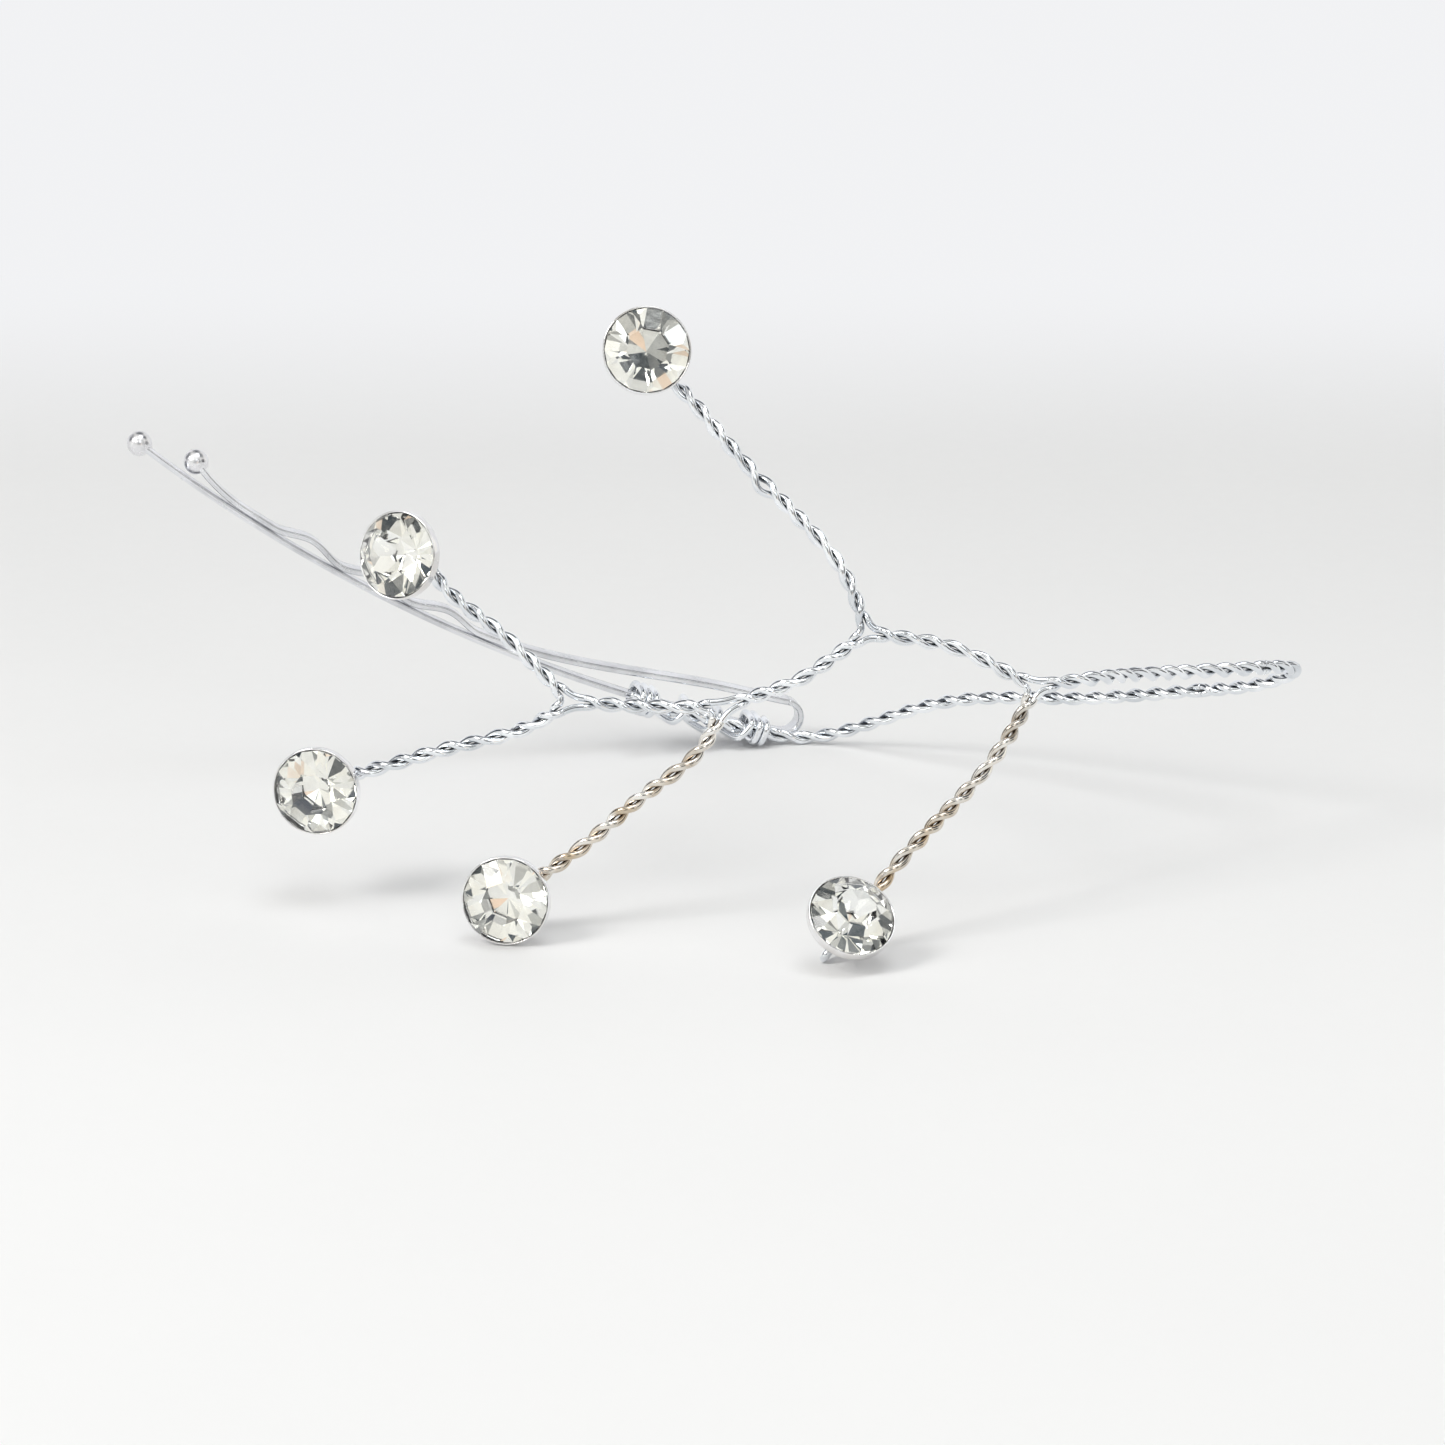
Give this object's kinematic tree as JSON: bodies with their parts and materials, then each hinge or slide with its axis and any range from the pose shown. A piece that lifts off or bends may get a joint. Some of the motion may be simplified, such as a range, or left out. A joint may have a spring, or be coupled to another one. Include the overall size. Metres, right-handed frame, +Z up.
{
  "type": "decorative hair pin",
  "caption": "Decorative hair pin: a branching sprig of twisted silver wire carrying round foiled stones in metal cups, bound beside the head of a sprung two-legged pin.",
  "frame": {"origin": "centre of the base of the whole piece as it stands, at the height of the surface it stands on", "axes": "+Z up; +X along the sprig, from its free end towards its U-turn; +Y from the stones towards the pin"},
  "size_m": [0.0682, 0.0454, 0.0334],
  "materials": {
    "wire_silver": "bright silver plating on drawn wire, lightly rubbed",
    "cup_silver": "bright silver plating on thin spun metal",
    "stone_crystal": "clear machine-cut glass with a mirror-foiled back",
    "pin_steel": "smooth nickel-silver tone, softly polished",
    "bead_steel": "rounded dipped end, satin"
  },
  "bodies": {
    "pin": {"pin_fixed_leg": "pin_steel", "fixed_leg_bead": "bead_steel", "binding_wraps": "wire_silver", "sprig_tail": "wire_silver", "sprig_return_run": "wire_silver", "sprig_elbow_turn": "wire_silver"},
    "spring_leg": {"pin_spring_leg": "pin_steel", "spring_leg_bead": "bead_steel"},
    "sprig_stem": {"stem_d_e": "wire_silver", "stem_c_d": "wire_silver", "stem_b_c": "wire_silver", "stem_a_b": "wire_silver", "junction_a_eye": "wire_silver", "junction_b_eye": "wire_silver", "junction_c_eye": "wire_silver", "junction_d_eye": "wire_silver"},
    "top_arm": {"top_branch": "wire_silver", "top_wire_loop": "wire_silver", "top_cup": "cup_silver", "top_stone": "stone_crystal"},
    "upper_left_arm": {"upper_left_branch": "wire_silver", "upper_left_wire_loop": "wire_silver", "upper_left_cup": "cup_silver", "upper_left_stone": "stone_crystal"},
    "lower_left_arm": {"lower_left_branch": "wire_silver", "lower_left_wire_loop": "wire_silver", "lower_left_cup": "cup_silver", "lower_left_stone": "stone_crystal"},
    "front_left_arm": {"front_left_branch": "wire_silver", "front_left_wire_loop": "wire_silver", "front_left_cup": "cup_silver", "front_left_stone": "stone_crystal"},
    "front_right_arm": {"front_right_branch": "wire_silver", "front_right_wire_loop": "wire_silver", "front_right_cup": "cup_silver", "front_right_stone": "stone_crystal"}
  },
  "joints": [
    {"name": "spring_leg_open", "type": "hinge", "parent": "pin", "child": "spring_leg", "pos_m": [0.00456, 0.02188, 0.00245], "axis": [-0.2395, 0.9709, 0], "range_deg": [0, 12], "stiffness_Nm_per_rad": 0.02},
    {"name": "sprig_swing", "type": "hinge", "parent": "pin", "child": "sprig_stem", "pos_m": [0.03171, 0.00057, 0.01082], "axis": [-0.0599, 0.2931, 0.9542], "range_deg": [-10, 10]},
    {"name": "top_branch_bend", "type": "hinge", "parent": "sprig_stem", "child": "top_arm", "pos_m": [0.00856, -0.01022, 0.0167], "axis": [0, -0.9404, 0.3401], "range_deg": [-15, 15]},
    {"name": "upper_left_branch_bend", "type": "hinge", "parent": "sprig_stem", "child": "upper_left_arm", "pos_m": [-0.00832, -0.01032, 0.01268], "axis": [0, -0.9404, 0.3401], "range_deg": [-15, 15]},
    {"name": "lower_left_branch_bend", "type": "hinge", "parent": "sprig_stem", "child": "lower_left_arm", "pos_m": [-0.00845, -0.01067, 0.01171], "axis": [0, -0.9404, 0.3401], "range_deg": [-15, 15]},
    {"name": "front_left_branch_bend", "type": "hinge", "parent": "sprig_stem", "child": "front_left_arm", "pos_m": [0.00034, -0.01183, 0.01129], "axis": [0, -0.9404, 0.3401], "range_deg": [-15, 15]},
    {"name": "front_right_branch_bend", "type": "hinge", "parent": "sprig_stem", "child": "front_right_arm", "pos_m": [0.01784, -0.01046, 0.01229], "axis": [0, -0.9404, 0.3401], "range_deg": [-15, 15]}
  ]
}
